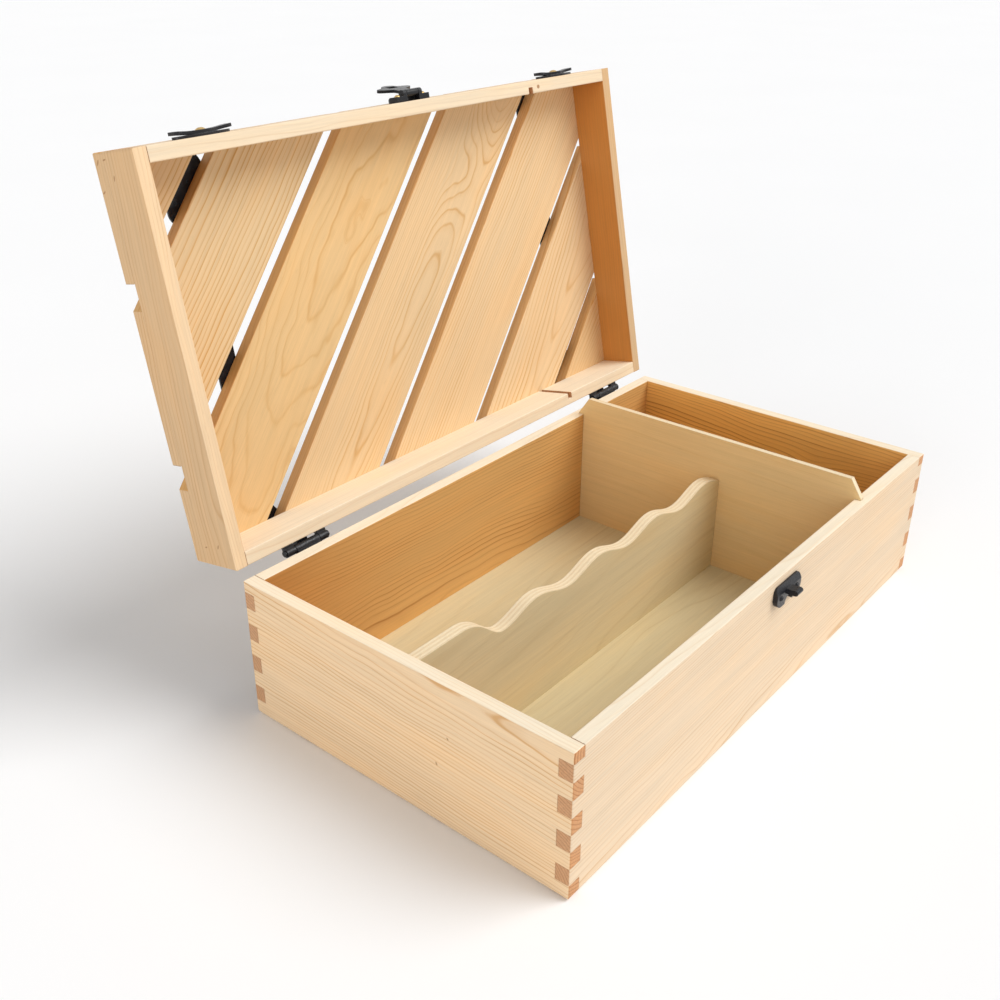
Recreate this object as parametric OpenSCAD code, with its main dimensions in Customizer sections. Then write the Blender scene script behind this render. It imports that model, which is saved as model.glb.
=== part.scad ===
// Wooden wine box for two bottles, with a slatted lid, strap hinges and a tongue latch.
// The origin is the centre of the box's underside. X runs along the box from its
// left end to its right end, the latch side faces -Y, the hinge side +Y, +Z is up.
// Lid parts are drawn on the shut lid and then swung open about the hinge pins.

/* [Box] */
// Outer length of the box
box_length = 410; // [340:1:480]
// Outer width of the box, from the latch side to the hinge side
box_width = 230; // [190:1:280]
// Height of the box without its lid
box_height = 92; // [80:1:120]
// Thickness of the boards of box and lid frame
wall = 8.5; // [7:0.5:12]
// Radius on the edges of the rims
rim_ease = 0.7; // [0.3:0.1:1.5]
// Radius on the four upright corners
corner_ease = 1.2; // [0.5:0.1:3]
// Radius round the foot of the box
foot_round = 3.2; // [1:0.2:4]

/* [Finger joints] */
// Height of the topmost finger, which belongs to the end boards
top_finger = 6.8; // [4:0.2:10]
// Number of fingers below the topmost one, an even number
finger_count = 8; // [4:2:12]

/* [Bottom] */
// Thickness of the bottom panel
panel_thickness = 6; // [4:0.5:9]
// How far the panel's edge runs into the boards
rebate_depth = 3.5; // [3:0.5:5]
// Clearance round the panel's edge in the rebate
panel_clearance = 0.2; // [0.1:0.05:0.5]

/* [Cross divider] */
// Length of the bottle space, from the left end board to the divider
bottle_space = 306; // [260:1:330]
// Thickness of the plywood divider
divider_thickness = 4; // [3:0.5:6]
// Height of the divider above the rim
divider_rise = 13; // [4:1:20]
// Width of the cut at the divider's top corners
divider_cut_width = 8; // [4:1:14]
// Height of the cut at the divider's top corners
divider_cut_height = 12; // [4:1:18]
// Depth of the divider's grooves in the long boards and the lid rails
groove_depth = 4; // [2:0.5:5]
// Clearance between a board and the groove that holds it
groove_clearance = 0.2; // [0.1:0.05:0.5]

/* [Bottle separator] */
// Thickness of the board between the two bottles
separator_thickness = 8; // [5:0.5:12]
// Distance of the separator from the middle, towards the latch side
separator_shift = 6; // [0:1:15]
// Depth of the separator's groove in the left end board
separator_groove = 3; // [2:0.5:5]
// Height of the separator's shoulder above the underside of the box
shoulder_height = 89; // [78:1:100]
// Length of the straight shoulder at the left end
shoulder_length = 36; // [15:1:60]
// Length of the slope from the shoulder down to the wavy edge
slope_length = 34; // [15:1:50]
// Mean height of the wavy edge above the underside of the box
wave_mean = 75.5; // [55:0.5:85]
// Height of the waves above and below their mean
wave_height = 3.5; // [0:0.5:8]
// Length of one wave along the edge
wave_length = 62; // [30:1:120]

/* [Lid frame] */
// Height of the lid's frame boards
frame_height = 28; // [20:1:40]
// Gap between the rims of box and lid when the lid is shut
rim_gap = 0.4; // [0.2:0.1:2]
// Angle that the lid stands open
open_angle = 101; // [92:1:110]

/* [Slats] */
// Thickness of the slats
slat_thickness = 9; // [6:0.5:12]
// Width of a slat, square to its grain
slat_width = 60; // [40:1:80]
// Gap between two slats
slat_gap = 10; // [5:0.5:16]
// Angle between the slats and the box's length
slat_angle = 47; // [35:1:60]
// Distance of the middle slat's centre from the middle of the lid, towards the left end
slat_shift = 3; // [0:1:20]
// Radius on the long edges of the slats
slat_ease = 0.8; // [0.3:0.1:2]
// Bevel on the outer edges of the layer of slats
slat_bevel = 0.6; // [0.2:0.1:2]

/* [Straps] */
// Distance of each strap's middle from the end of the box
strap_inset = 51; // [40:1:90]
// Thickness of the strap iron
strap_thickness = 1.4; // [1:0.1:2]
// Half the width of the strap at the hinge
strap_heel = 16; // [12:0.5:20]
// Half the width of the strap's neck
strap_neck = 7; // [5:0.5:10]
// Half the width of the strap's head
strap_head = 14.5; // [10:0.5:18]
// Length of the strap's head on top of the lid
head_length = 52; // [40:1:70]
// Length over which the strap narrows behind the hinge
heel_taper = 18; // [10:1:30]
// Length over which the strap widens towards its head
head_taper = 14; // [8:1:30]
// Width that the ring between neck and head adds on each side
ring_rise = 2.2; // [0:0.1:4]
// Length over which the strap's head rounds to its front end
head_round = 14; // [8:1:20]
// Distance of the strap's front end from the lid's front edge
strap_end = 4; // [3:0.5:12]

/* [Hinges] */
// Outer radius of the hinge barrel
barrel_radius = 2.6; // [2.2:0.1:4]
// Radius of the hinge pins
pin_radius = 1.1; // [0.8:0.1:1.5]
// Running clearance round the pins, on the radius
pin_clearance = 0.05; // [0.02:0.01:0.1]
// Radius of the riveted pin ends
pin_head_radius = 1.9; // [1.4:0.1:2.5]
// Thickness of the riveted pin ends
pin_head = 0.8; // [0.5:0.1:1.5]
// Length of the barrel's middle knuckle, on the box's leaf
middle_knuckle = 18; // [12:1:22]
// Gap between two knuckles
knuckle_gap = 0.4; // [0.2:0.1:1]
// Room round the barrel's axis that is cut from the plates
knuckle_relief = 5; // [4:0.1:7]
// Height of the hinge leaf on the box
leaf_height = 34; // [28:1:45]
// Height over which the leaf rounds to its tip
leaf_tip = 15; // [10:1:20]
// Width of the lug that stops the lid when it stands open
lug_width = 8; // [5:0.5:12]
// Distance from the hinge axis to the back of the lug
lug_reach = 7.4; // [7:0.1:9]
// Distance between the lug and the barrel's surface
lug_room = 0.9; // [0.5:0.1:1.5]
// Gap between the lug and the open strap
lug_gap = 0.15; // [0.1:0.05:0.5]

/* [Bows] */
// Half the width of the plate behind the bow
shield_half = 18; // [14:0.5:24]
// Thickness of the plate behind the bow
shield_thickness = 1.4; // [1:0.1:2]
// Distance of that plate from the lid's rim
shield_margin = 3; // [2:0.5:8]
// Half the width of the cast bow on the lid's front
bow_half = 18.5; // [14:0.5:24]
// Half the height of the bow in its middle
bow_middle = 6; // [4:0.5:9]
// Half the height of the bow where it is thinnest
bow_waist = 2.4; // [1:0.1:3]
// Half the height of the bow's tips
bow_tip = 3.4; // [1.5:0.1:5]
// Thickness of the bow
bow_thickness = 1.8; // [1:0.1:3]
// Distance that the bow's tips stand off their plate
bow_lift = 1; // [0:0.1:5]
// Height of the bow's middle above the lower tip of its plate
bow_height = 9; // [8:0.5:16]

/* [Latch] */
// Width of the latch base on the lid
latch_width = 28; // [26:1:40]
// Height of the latch base above its pin
latch_height = 9; // [8:0.5:18]
// Thickness of the latch base
latch_thickness = 3.4; // [2.4:0.1:4]
// Thickness of the bevelled edge of latch base and catch
latch_edge = 1.2; // [0.8:0.1:2]
// Height of the bevel on latch base and catch
latch_bevel = 4.5; // [2:0.5:7]
// Radius of the latch base's rounded upper corners
latch_corner = 5; // [2:0.5:6]
// Distance of the latch pin from the lid's front face
latch_stand = 4.8; // [4.4:0.1:6]
// Distance of the latch pin above the lid's rim
latch_pin_height = 5; // [4:0.5:9]
// Radius of the latch barrel
latch_barrel = 2.2; // [1.8:0.1:3]
// Radius of the latch pin
latch_pin_radius = 0.9; // [0.6:0.1:1.2]
// Length of each of the latch base's two knuckles
latch_knuckle = 2.8; // [2:0.1:4]
// Length of the tongue from its pin to its tip
tongue_length = 22; // [20:0.5:26]
// Thickness of the tongue
tongue_thickness = 1.8; // [1.2:0.1:2.5]
// Width of the tongue's neck
tongue_neck = 10; // [8:0.5:14]
// Width across the tongue's two wings
tongue_wings = 28; // [20:0.5:32]
// Width of the rounded tip between the wings
tongue_tip = 12; // [8:0.5:16]
// Angle that the tongue at rest is turned up from where it hangs
tongue_angle = 167; // [90:1:168]

/* [Catch] */
// Width of the catch plate on the box
catch_width = 29; // [24:1:36]
// Height of the catch plate on the box
catch_height = 13.5; // [12:0.5:20]
// Thickness of the catch plate
catch_thickness = 3; // [2:0.1:3.2]
// Distance of the catch plate below the rim of the box
catch_drop = 5; // [4:0.5:8]
// Radius of the catch plate's rounded corners
catch_corner = 6; // [3:0.5:8]
// Radius of the notch under the hook
catch_notch = 4.5; // [3:0.5:6]
// Distance of the hook's middle from the latch pin
hook_radius = 16; // [15:0.1:18]
// Width of the hook
hook_width = 6.6; // [5:0.2:8]
// Thickness of the hook
hook_thickness = 3.4; // [2:0.1:3.6]
// Angle that the hook reaches past the hanging tongue
hook_angle = 12; // [10:1:24]
// Room between the hook and the tongue's slot
hook_room = 0.6; // [0.4:0.1:1]

/* [Nails] */
// Radius of the dome heads
nail_head = 2.4; // [1.8:0.1:3.2]
// Height of the dome heads
nail_dome = 1.2; // [0.8:0.1:1.8]
// Radius of the small brass heads on latch and catch
small_head = 1.9; // [1.4:0.1:2.4]
// Radius of the brass heads on the bows
brass_head = 3; // [2.2:0.1:4]
// Radius of the shanks
nail_shank = 0.8; // [0.6:0.1:1.1]
// Length of the shanks below the head
nail_length = 7.6; // [6:0.1:9]
// Clearance round the shanks, on the radius
nail_clearance = 0.05; // [0.02:0.01:0.1]
// Distances of the nails on top of the lid from its back edge
strap_nail_runs = [40, 92, 145, 194];

/* [Hidden] */
$fn = 48;
small = 0.01;
pine = "#e8c994";
slat_pine = "#e0b679";
plywood = "#d9c08a";
black_iron = "#23211f";
brass = "#b08a4a";

half_length = box_length / 2;
half_width = box_width / 2;
finger_height = (box_height - top_finger) / finger_count;
panel_inset = wall - rebate_depth;
divider_x = -half_length + wall + bottle_space + divider_thickness / 2;
divider_top = box_height + divider_rise;
separator_y = -separator_shift;
lid_rim = box_height + rim_gap;
lid_slats = lid_rim + frame_height;
lid_top = lid_slats + slat_thickness;
lid_depth = frame_height + slat_thickness;
slat_pitch = slat_width + slat_gap;
slat_count = 7;
slat_reach = box_length + box_width;
strap_run = box_width - strap_end;
strap_offset = half_length - strap_inset;

// The hinge axis runs along X, outside the back of the box
axis_y = half_width + strap_thickness + barrel_radius;
axis_z = box_height + rim_gap / 2;
hinge_length = 2 * strap_heel;
end_knuckle = (hinge_length - middle_knuckle) / 2 - knuckle_gap;
ring_half = 5;

// The latch axis runs along X, in front of the lid
latch_axis_y = -half_width - latch_stand;
latch_axis_z = lid_rim + latch_pin_height;
knuckle_start = tongue_neck / 2 + knuckle_gap;
latch_pin_half = knuckle_start + latch_knuckle;
catch_top = box_height - catch_drop;
outline_step = 1;
fraction_step = 0.05;
least_half = 0.6;

// A soft step from 0 to 1 while t runs from 0 to 1
function smooth(t) = t <= 0 ? 0 : t >= 1 ? 1 : t * t * (3 - 2 * t);

// Closes a line of [half width, place] points with its mirror image
function both_sides(line) = concat(
    [for (p = line) [p[0], p[1]]],
    [for (i = [len(line) - 1:-1:0]) [-line[i][0], line[i][1]]]
);

module centred_box(size, at) {
    translate(at)
        cube(size, center = true);
}

// Swings what is drawn on the shut lid to the open position
module lid_open() {
    translate([0, axis_y, axis_z])
        rotate([-open_angle, 0, 0])
            translate([0, -axis_y, -axis_z])
                children();
}

// Hangs the tongue on its pin and turns it up, away from the lid
module tongue_turned() {
    translate([0, latch_axis_y, latch_axis_z])
        rotate([-tongue_angle, 0, 0])
            children();
}

// Extrudes a profile drawn in Y and Z along X
module along_x(from, to) {
    translate([from, 0, 0])
        rotate([90, 0, 90])
            linear_extrude(to - from)
                children();
}

// Extrudes a profile drawn in X and Z along Y
module along_y(from, to) {
    translate([0, to, 0])
        rotate([90, 0, 0])
            linear_extrude(to - from)
                children();
}

// Cuts one corner of a rectangle to a radius; turn says which way the rectangle lies
module corner_cut(radius, turn) {
    difference() {
        square(2 * radius, center = true);
        translate([turn[0] * radius, turn[1] * radius])
            circle(radius);
    }
}

// A rectangle between two corners, with radii for low left, low right, high right, high left
module eased_rect(low, high, radii) {
    spots = [
        [low[0], low[1], 1, 1], [high[0], low[1], -1, 1],
        [high[0], high[1], -1, -1], [low[0], high[1], 1, -1]
    ];
    difference() {
        translate(low)
            square(high - low);
        for (i = [0:3])
            if (radii[i] > 0)
                translate([spots[i][0], spots[i][1]])
                    corner_cut(radii[i], [spots[i][2], spots[i][3]]);
    }
}

// Box

// The outline of box and lid from above, with eased upright corners
module corner_form(bottom, top) {
    radii = [corner_ease, corner_ease, corner_ease, corner_ease];
    translate([0, 0, bottom])
        linear_extrude(top - bottom)
            eased_rect([-half_length, -half_width], [half_length, half_width], radii);
}

module box_form() {
    radii = [foot_round, foot_round, rim_ease, rim_ease];
    intersection() {
        corner_form(0, box_height);
        along_y(-half_width, half_width)
            eased_rect([-half_length, 0], [half_length, box_height], radii);
        along_x(-half_length, half_length)
            eased_rect([-half_width, 0], [half_width, box_height], radii);
    }
}

// Fingers are numbered from the rim down; even ones belong to the end boards
function finger_bottom(i) = box_height - top_finger - i * finger_height;
function finger_top(i) = i == 0 ? box_height + small : finger_bottom(i - 1);

module finger_stretches(owner, size) {
    for (i = [0:finger_count])
        if (i % 2 == owner)
            translate([0, 0, finger_bottom(i)])
                linear_extrude(finger_top(i) - finger_bottom(i))
                    square(size, center = true);
}

module panel_space(clearance) {
    translate([0, 0, panel_thickness / 2])
        cube([
            box_length - 2 * panel_inset + 2 * clearance,
            box_width - 2 * panel_inset + 2 * clearance,
            panel_thickness
        ], center = true);
}

// The divider's grooves in both long boards or both lid rails
module divider_grooves(bottom, top) {
    depth = groove_depth + groove_clearance;
    for (side = [-1, 1])
        centred_box(
            [divider_thickness + 2 * groove_clearance, 2 * depth, top - bottom],
            [divider_x, side * (half_width - wall), (top + bottom) / 2]
        );
}

module separator_slot() {
    size = [
        2 * separator_groove,
        separator_thickness + 2 * groove_clearance,
        shoulder_height + groove_clearance - panel_thickness
    ];
    centred_box(size, [-half_length + wall, separator_y, panel_thickness + size[2] / 2]);
}

module long_wall(side) {
    radii = [0, 0, rim_ease, rim_ease];
    difference() {
        intersection() {
            box_form();
            translate([0, side * (half_width - wall / 2), 0])
                along_x(-half_length, half_length)
                    eased_rect([-wall / 2, 0], [wall / 2, box_height], radii);
        }
        for (end = [-1, 1])
            translate([end * half_length, side * half_width, 0])
                finger_stretches(0, [2 * wall, 3 * wall]);
        panel_space(panel_clearance);
        divider_grooves(panel_thickness, box_height + rim_ease);
        if (side < 0)
            catch_nail_places()
                nail_bore();
        else
            both_straps()
                leaf_nail_places()
                    nail_bore();
    }
}

module end_wall(end) {
    radii = [0, 0, rim_ease, rim_ease];
    difference() {
        intersection() {
            box_form();
            translate([end * (half_length - wall / 2), 0, 0])
                along_y(-half_width, half_width)
                    eased_rect([-wall / 2, 0], [wall / 2, box_height], radii);
        }
        for (side = [-1, 1])
            translate([end * half_length, side * half_width, 0])
                finger_stretches(1, [3 * wall, 2 * wall]);
        panel_space(panel_clearance);
        if (end < 0)
            separator_slot();
    }
}

module front_wall() {
    color(pine)
        long_wall(-1);
}

module back_wall() {
    color(pine)
        long_wall(1);
}

module left_end_wall() {
    color(pine)
        end_wall(-1);
}

module right_end_wall() {
    color(pine)
        end_wall(1);
}

module bottom_panel() {
    color(plywood)
        panel_space(0);
}

module cross_divider() {
    half = half_width - wall + groove_depth;
    color(plywood)
        along_x(divider_x - divider_thickness / 2, divider_x + divider_thickness / 2)
            polygon([
                [-half, panel_thickness],
                [half, panel_thickness],
                [half, divider_top - divider_cut_height],
                [half - divider_cut_width, divider_top],
                [-half + divider_cut_width, divider_top],
                [-half, divider_top - divider_cut_height]
            ]);
}

// Height of the separator's top edge at a distance from the left end board
function separator_edge(run) =
    let (
        wavy = run - shoulder_length - slope_length,
        down = smooth((run - shoulder_length) / slope_length),
        wave = wave_mean - wave_height * cos(360 * wavy / wave_length)
    )
    shoulder_height * (1 - down) + wave * down;

module bottle_separator() {
    start = -half_length + wall;
    run = bottle_space - groove_clearance;
    near = start - separator_groove + groove_clearance;
    step = 2;
    color(plywood)
        translate([0, separator_y, 0])
            along_y(-separator_thickness / 2, separator_thickness / 2)
                polygon(concat(
                    [[near, panel_thickness], [near, shoulder_height]],
                    [for (s = [shoulder_length:step:run - step]) [start + s, separator_edge(s)]],
                    [[start + run, separator_edge(run)], [start + run, panel_thickness]]
                ));
}

// Lid frame

module lid_rail(side) {
    radii = [rim_ease, rim_ease, 0, 0];
    difference() {
        translate([0, side * (half_width - wall / 2), 0])
            along_x(-half_length + wall, half_length - wall)
                eased_rect([-wall / 2, lid_rim], [wall / 2, lid_slats], radii);
        divider_grooves(lid_rim - small, lid_slats + small);
        lid_nail_bores();
    }
}

module lid_side(end) {
    radii = [rim_ease, rim_ease, 0, 0];
    intersection() {
        corner_form(lid_rim, lid_slats);
        translate([end * (half_length - wall / 2), 0, 0])
            along_y(-half_width, half_width)
                eased_rect([-wall / 2, lid_rim], [wall / 2, lid_slats], radii);
    }
}

module lid_front_rail() {
    color(pine)
        lid_open()
            lid_rail(-1);
}

module lid_back_rail() {
    color(pine)
        lid_open()
            lid_rail(1);
}

module lid_left_side() {
    color(pine)
        lid_open()
            lid_side(-1);
}

module lid_right_side() {
    color(pine)
        lid_open()
            lid_side(1);
}

// Slats

// The layer of slats seen from its edge, with bevelled outer edges
module field_profile(half) {
    polygon([
        [-half, lid_slats],
        [half, lid_slats],
        [half, lid_top - slat_bevel],
        [half - slat_bevel, lid_top],
        [-half + slat_bevel, lid_top],
        [-half, lid_top - slat_bevel]
    ]);
}

// The layer of slats ends flush with the frame
module slat_field() {
    intersection() {
        corner_form(lid_slats, lid_top);
        along_y(-half_width, half_width)
            field_profile(half_length);
        along_x(-half_length, half_length)
            field_profile(half_width);
    }
}

// The first and the last slat take up what is left at the lid's corners
module slat(number) {
    centre = (number - (slat_count + 1) / 2) * slat_pitch;
    low = number == 1 ? -slat_reach : centre - slat_width / 2;
    high = number == slat_count ? slat_reach : centre + slat_width / 2;
    radii = [slat_ease, slat_ease, slat_ease, slat_ease];
    color(slat_pine)
        lid_open()
            difference() {
                intersection() {
                    slat_field();
                    translate([-slat_shift, 0, 0])
                        rotate([0, 0, -slat_angle])
                            along_x(-slat_reach, slat_reach)
                                eased_rect([low, lid_slats], [high, lid_top], radii);
                }
                lid_nail_bores();
            }
}

// Straps

// Half the strap's width at a distance from the lid's back edge
function strap_half(run) =
    let (
        heel = 1 - smooth(run / heel_taper),
        start = box_width - head_length,
        head = smooth((run - start) / head_taper),
        ring = max(0, 1 - pow((run - start + ring_half) / ring_half, 2)),
        tip = max(0, run - strap_run + head_round) / head_round
    )
    (strap_neck + (strap_heel - strap_neck) * heel
    + (strap_head - strap_neck) * head + ring_rise * ring * (1 - head))
    * sqrt(1 - min(1, tip * tip));

module strap_outline_top() {
    polygon(both_sides([
        for (run = [0:outline_step:strap_run])
            [max(least_half, strap_half(run)), half_width - run]
    ]));
}

// The bent strip seen from its edge: back leg and top run
module strap_profile() {
    reach = half_width + strap_thickness;
    radii = [0, 0, strap_thickness, 0];
    difference() {
        eased_rect([-reach, lid_rim], [reach, lid_top + strap_thickness], radii);
        translate([-reach - small, lid_rim - small])
            square([box_width + strap_thickness + small, lid_depth + small]);
    }
}

module strap_plate() {
    intersection() {
        along_x(-strap_heel, strap_heel)
            strap_profile();
        union() {
            translate([0, 0, lid_top])
                linear_extrude(strap_thickness)
                    strap_outline_top();
            translate([-strap_heel, half_width - strap_thickness, lid_rim])
                cube([hinge_length, 2 * strap_thickness, lid_depth + strap_thickness]);
        }
    }
}

// A knuckle centred on its length, with the web that joins it to its plate
module knuckle(length, web_bottom) {
    along_x(-length / 2, length / 2) {
        translate([axis_y, axis_z])
            circle(barrel_radius);
        translate([half_width, web_bottom])
            square([axis_y - half_width, barrel_radius]);
    }
}

module hinge_bore() {
    along_x(-hinge_length, hinge_length)
        translate([axis_y, axis_z])
            circle(pin_radius + pin_clearance);
}

module relief(length, at) {
    centred_box([length, 4 * barrel_radius, 2 * knuckle_relief], [at, half_width, axis_z]);
}

module strap(side) {
    color(black_iron)
        lid_open()
            translate([side * strap_offset, 0, 0])
                difference() {
                    union() {
                        difference() {
                            strap_plate();
                            relief(middle_knuckle + 2 * knuckle_gap, 0);
                        }
                        for (end = [-1, 1])
                            translate([end * (hinge_length - end_knuckle) / 2, 0, 0])
                                knuckle(end_knuckle, axis_z);
                    }
                    hinge_bore();
                    strap_nail_places()
                        nail_bore();
                }
}

// Height above the hinge axis of the open strap's leg, at a distance behind the axis
function open_leg(y) = (barrel_radius + y * cos(open_angle)) / sin(open_angle);

// The lug reaches round the barrel to where the open strap comes to rest
module stop_lug() {
    inner = barrel_radius + lug_room;
    foot = -barrel_radius - strap_thickness / 2;
    along_x(-lug_width / 2, lug_width / 2)
        translate([axis_y, axis_z])
            polygon([
                [foot, -inner],
                [inner, -inner],
                [inner, open_leg(inner) - lug_gap],
                [lug_reach, open_leg(lug_reach) - lug_gap],
                [lug_reach, -inner],
                [foot, -inner - lug_reach]
            ]);
}

// The leaf on the box narrows to a rounded tip
module leaf_outline() {
    polygon(both_sides([
        for (drop = [0:outline_step:leaf_height])
            let (t = max(0, drop - leaf_height + leaf_tip) / leaf_tip)
            [max(least_half, strap_heel * sqrt(1 - t * t)), axis_z - drop]
    ]));
}

module hinge_leaf(side) {
    color(black_iron)
        translate([side * strap_offset, 0, 0])
            difference() {
                union() {
                    difference() {
                        along_y(half_width, half_width + strap_thickness)
                            leaf_outline();
                        for (end = [-1, 1])
                            relief(2 * (end_knuckle + knuckle_gap), end * strap_heel);
                    }
                    knuckle(middle_knuckle, axis_z - barrel_radius);
                    stop_lug();
                }
                hinge_bore();
                leaf_nail_places()
                    nail_bore();
            }
}

module hinge_pin(side) {
    end = strap_heel + knuckle_gap / 2;
    color(black_iron)
        translate([side * strap_offset, axis_y, axis_z])
            rotate([0, 90, 0])
                union() {
                    cylinder(r = pin_radius, h = 2 * end, center = true);
                    for (turn = [-1, 1])
                        translate([0, 0, turn * (end + pin_head / 2)])
                            cylinder(r = pin_head_radius, h = pin_head, center = true);
                }
}

// Bows

// Half the bow's height, and its distance from its plate, at a fraction of its half width
function bow_edge(t) =
    bow_waist + (bow_middle - bow_waist) * (1 - smooth(t / 0.6))
    + (bow_tip - bow_waist) * smooth((t - 0.6) / 0.3) * (1 - 0.6 * smooth((t - 0.9) / 0.1));
function bow_off(t) = bow_lift * smooth((t - 0.25) / 0.9);

// The plate behind the bow has the shape of a lens
module shield_outline() {
    full = 2 * bow_height;
    polygon(both_sides([
        for (rise = [0:outline_step:full])
            let (u = 2 * rise / full - 1)
            [max(least_half, shield_half * pow(1 - u * u, 0.7)), lid_rim + shield_margin + rise]
    ]));
}

module bow_blade() {
    steps = [-1:fraction_step:1];
    middle = lid_rim + shield_margin + bow_height;
    face = -half_width - shield_thickness;
    intersection() {
        translate([0, face, middle - bow_middle])
            linear_extrude(2 * bow_middle)
                polygon(concat(
                    [for (t = steps) [bow_half * t, -bow_off(abs(t))]],
                    [for (t = steps) [-bow_half * t, -bow_off(abs(t)) - bow_thickness]]
                ));
        translate([0, 0, middle])
            along_y(face - bow_lift - bow_thickness, face)
                polygon(concat(
                    [for (t = steps) [bow_half * t, bow_edge(abs(t))]],
                    [for (t = steps) [-bow_half * t, -bow_edge(abs(t))]]
                ));
    }
}

// Bow and plate are cast in one piece
module bow(side) {
    color(black_iron)
        lid_open()
            translate([side * strap_offset, 0, 0])
                difference() {
                    union() {
                        bow_blade();
                        along_y(-half_width - shield_thickness, -half_width)
                            shield_outline();
                    }
                    bow_nail_place()
                        nail_bore();
                }
}

// Nails

function dome_radius(head) = (head * head + nail_dome * nail_dome) / (2 * nail_dome);

// A nail stands at the origin with its head upwards
module nail(head) {
    rotate_extrude() {
        translate([0, -nail_length])
            square([nail_shank, nail_length + nail_dome / 2]);
        intersection() {
            translate([0, nail_dome - dome_radius(head)])
                circle(dome_radius(head));
            square([head, nail_dome]);
        }
    }
}

module nail_bore() {
    translate([0, 0, -nail_length - nail_clearance])
        cylinder(r = nail_shank + nail_clearance, h = 2 * nail_length);
}

module both_straps() {
    for (side = [-1, 1])
        translate([side * strap_offset, 0, 0])
            children();
}

// Nails along a strap, on top of the lid and on its back leg
module strap_nail_places() {
    for (run = strap_nail_runs)
        translate([0, half_width - run, lid_top + strap_thickness])
            children();
    for (end = [-1, 1])
        translate([
            end * (strap_heel - 2 * nail_head),
            half_width + strap_thickness,
            lid_slats - 4 * nail_head
        ])
            rotate([-90, 0, 0])
                children();
}

module bow_nail_place() {
    translate([
        0,
        -half_width - shield_thickness - bow_thickness,
        lid_rim + shield_margin + bow_height
    ])
        rotate([90, 0, 0])
            children();
}

module leaf_nail_places() {
    for (end = [-1, 0, 1])
        translate([
            end * (strap_heel - 2 * nail_head),
            half_width + strap_thickness,
            axis_z - (end == 0 ? leaf_height - 3 * nail_head : knuckle_relief + 3 * nail_head)
        ])
            rotate([-90, 0, 0])
                children();
}

module latch_nail_places() {
    for (end = [-1, 1])
        translate([
            end * (latch_width / 2 - 1.6 * small_head),
            -half_width - latch_thickness,
            latch_axis_z + 0.5 * small_head
        ])
            rotate([90, 0, 0])
                children();
}

module catch_nail_places() {
    for (end = [-1, 1])
        translate([
            end * (catch_width / 2 - 2.6 * small_head),
            -half_width - catch_thickness,
            catch_top - catch_height + 3.2 * small_head
        ])
            rotate([90, 0, 0])
                children();
}

module lid_nail_bores() {
    both_straps() {
        strap_nail_places()
            nail_bore();
        bow_nail_place()
            nail_bore();
    }
    latch_nail_places()
        nail_bore();
}

module strap_nails() {
    color(black_iron)
        lid_open()
            both_straps()
                strap_nail_places()
                    nail(nail_head);
}

module brass_nails() {
    color(brass)
        lid_open()
            both_straps()
                bow_nail_place()
                    nail(brass_head);
}

module leaf_nails() {
    color(black_iron)
        both_straps()
            leaf_nail_places()
                nail(nail_head);
}

module latch_nails() {
    color(brass)
        lid_open()
            latch_nail_places()
                nail(small_head);
}

module catch_nails() {
    color(brass)
        catch_nail_places()
            nail(small_head);
}

// Latch

// A plate on a front face seen from its end: flat on the wood, bevelled at its top
module bevelled_plate(bottom, top, thickness) {
    polygon([
        [-half_width, bottom],
        [-half_width - thickness, bottom],
        [-half_width - thickness, top - latch_bevel],
        [-half_width - latch_edge, top],
        [-half_width, top]
    ]);
}

module latch_bore() {
    along_x(-latch_width, latch_width)
        translate([latch_axis_y, latch_axis_z])
            circle(latch_pin_radius + pin_clearance);
}

module latch_base() {
    low = latch_axis_z - latch_barrel;
    high = latch_axis_z + latch_height;
    half = latch_width / 2;
    color(black_iron)
        lid_open()
            difference() {
                union() {
                    intersection() {
                        along_x(-half, half)
                            bevelled_plate(low, high, latch_thickness);
                        along_y(-half_width - latch_thickness, -half_width)
                            eased_rect([-half, low], [half, high], [0, 0, latch_corner, latch_corner]);
                    }
                    for (end = [-1, 1])
                        translate([end * (knuckle_start + latch_knuckle / 2), 0, 0])
                            along_x(-latch_knuckle / 2, latch_knuckle / 2) {
                                translate([latch_axis_y, latch_axis_z])
                                    circle(latch_barrel);
                                translate([latch_axis_y, low])
                                    square([latch_stand, 2 * latch_barrel]);
                            }
                }
                latch_bore();
                latch_mouth();
                latch_nail_places()
                    nail_bore();
            }
}

// Room for the tongue's knuckle in the latch base
module latch_mouth() {
    room = latch_barrel + knuckle_gap;
    translate([-tongue_neck / 2 - knuckle_gap, latch_axis_y - room, latch_axis_z - room])
        cube([tongue_neck + 2 * knuckle_gap, latch_stand + room + small, 2 * room]);
}

module latch_pin() {
    color(black_iron)
        lid_open()
            translate([0, latch_axis_y, latch_axis_z])
                rotate([0, 90, 0])
                    cylinder(r = latch_pin_radius, h = 2 * latch_pin_half, center = true);
}

// Half the tongue's width at a fraction of its length: neck, wings, rounded tip
function tongue_half(t) =
    let (
        neck = tongue_neck / 2,
        wing = tongue_wings / 2,
        tip = tongue_tip / 2,
        out = smooth((t - 0.38) / 0.24),
        back = smooth((t - 0.68) / 0.14),
        end = max(0, (t - 0.82) / 0.18)
    )
    (neck + (wing - neck) * out) * (1 - back) + tip * back * sqrt(1 - min(1, end * end));

module tongue_outline() {
    polygon(both_sides([
        for (t = [0:fraction_step / 2:1])
            [max(least_half, tongue_half(t)), -tongue_length * t]
    ]));
}

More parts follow.
